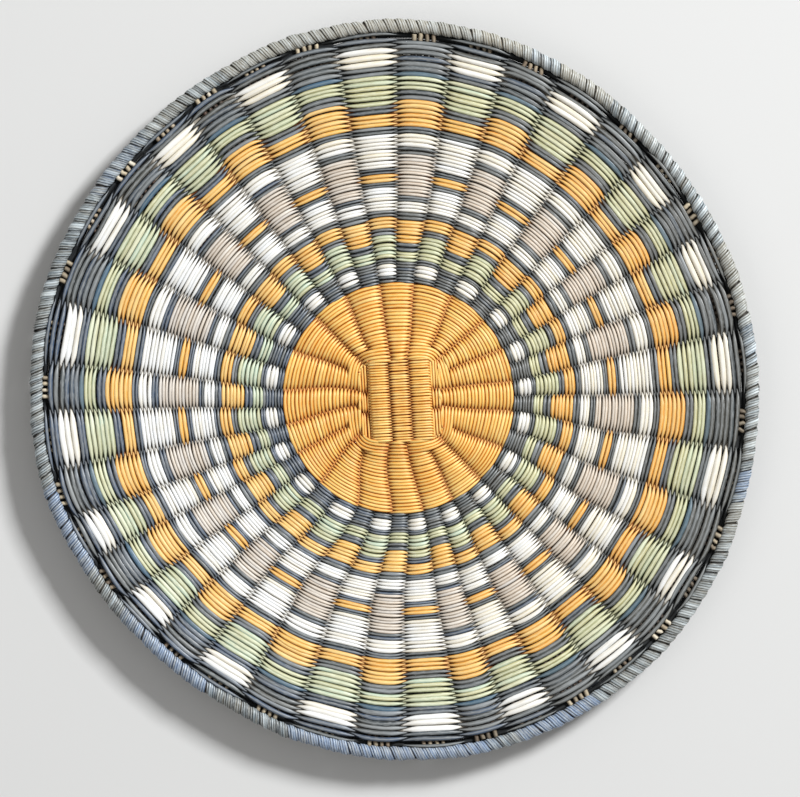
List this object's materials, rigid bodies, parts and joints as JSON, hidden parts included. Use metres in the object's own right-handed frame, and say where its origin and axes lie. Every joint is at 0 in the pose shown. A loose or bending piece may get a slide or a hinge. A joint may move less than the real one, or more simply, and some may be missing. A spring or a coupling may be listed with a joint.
{
  "type": "wicker plaque",
  "caption": "Round shallow wicker plaque: bundled ribs from a crossed centre, two sets of dyed wefts in banded checks, and a wrapped rim.",
  "frame": {"origin": "centre of the rim in plan, on the surface that the flat middle rests on", "axes": "+Z out of the decorated hollow face, +Y towards the top of the picture, +X towards its right"},
  "size_m": [0.3552, 0.3609, 0.0178],
  "materials": {
    "weft_ochre": "satin",
    "weft_charcoal": "satin",
    "weft_sage": "satin",
    "weft_cream": "satin",
    "weft_taupe": "matt",
    "rib_rod": "matt",
    "rim_strip": "matt"
  },
  "bodies": {
    "root": {"disc_weft_a1_ochre": "weft_ochre", "disc_weft_a2_ochre": "weft_ochre", "disc_weft_a3_ochre": "weft_ochre", "disc_weft_b1_ochre": "weft_ochre", "disc_weft_b2_ochre": "weft_ochre", "disc_weft_b3_ochre": "weft_ochre", "field_weft_a1_check": "weft_charcoal", "field_weft_a2_sage": "weft_sage", "field_weft_a3_ochre": "weft_ochre", "field_weft_a4_cream": "weft_cream", "field_weft_a5_taupe": "weft_taupe", "field_weft_a6_cream": "weft_cream", "field_weft_a7_ochre": "weft_ochre", "field_weft_a8_sage": "weft_sage", "field_weft_a9_check": "weft_charcoal", "field_weft_b1_check": "weft_cream", "field_weft_b2_sage": "weft_sage", "field_weft_b3_ochre": "weft_ochre", "field_weft_b4_cream": "weft_cream", "field_weft_b5_ochre": "weft_ochre", "field_weft_b6_cream": "weft_cream", "field_weft_b7_ochre": "weft_ochre", "field_weft_b8_sage": "weft_sage", "field_weft_b9_check": "weft_cream", "panel_weft_lower": "weft_ochre", "panel_weft_upper": "weft_ochre", "rib_added_1_a": "rib_rod", "rib_added_1_b": "rib_rod", "rib_added_2_a": "rib_rod", "rib_added_2_b": "rib_rod", "rib_added_3_a": "rib_rod", "rib_added_3_b": "rib_rod", "rib_added_4_a": "rib_rod", "rib_added_4_b": "rib_rod", "rib_added_5_a": "rib_rod", "rib_added_5_b": "rib_rod", "rib_added_6_a": "rib_rod", "rib_added_6_b": "rib_rod", "rib_added_7_a": "rib_rod", "rib_added_7_b": "rib_rod", "rib_added_8_a": "rib_rod", "rib_added_8_b": "rib_rod", "rib_lower_1_a": "rib_rod", "rib_lower_1_b": "rib_rod", "rib_lower_2_a": "rib_rod", "rib_lower_2_b": "rib_rod", "rib_lower_3_a": "rib_rod", "rib_lower_3_b": "rib_rod", "rib_upper_1_a": "rib_rod", "rib_upper_1_b": "rib_rod", "rib_upper_2_a": "rib_rod", "rib_upper_2_b": "rib_rod", "rib_upper_3_a": "rib_rod", "rib_upper_3_b": "rib_rod", "rim_binding": "rim_strip", "rim_core": "rib_rod"}
  },
  "joints": []
}
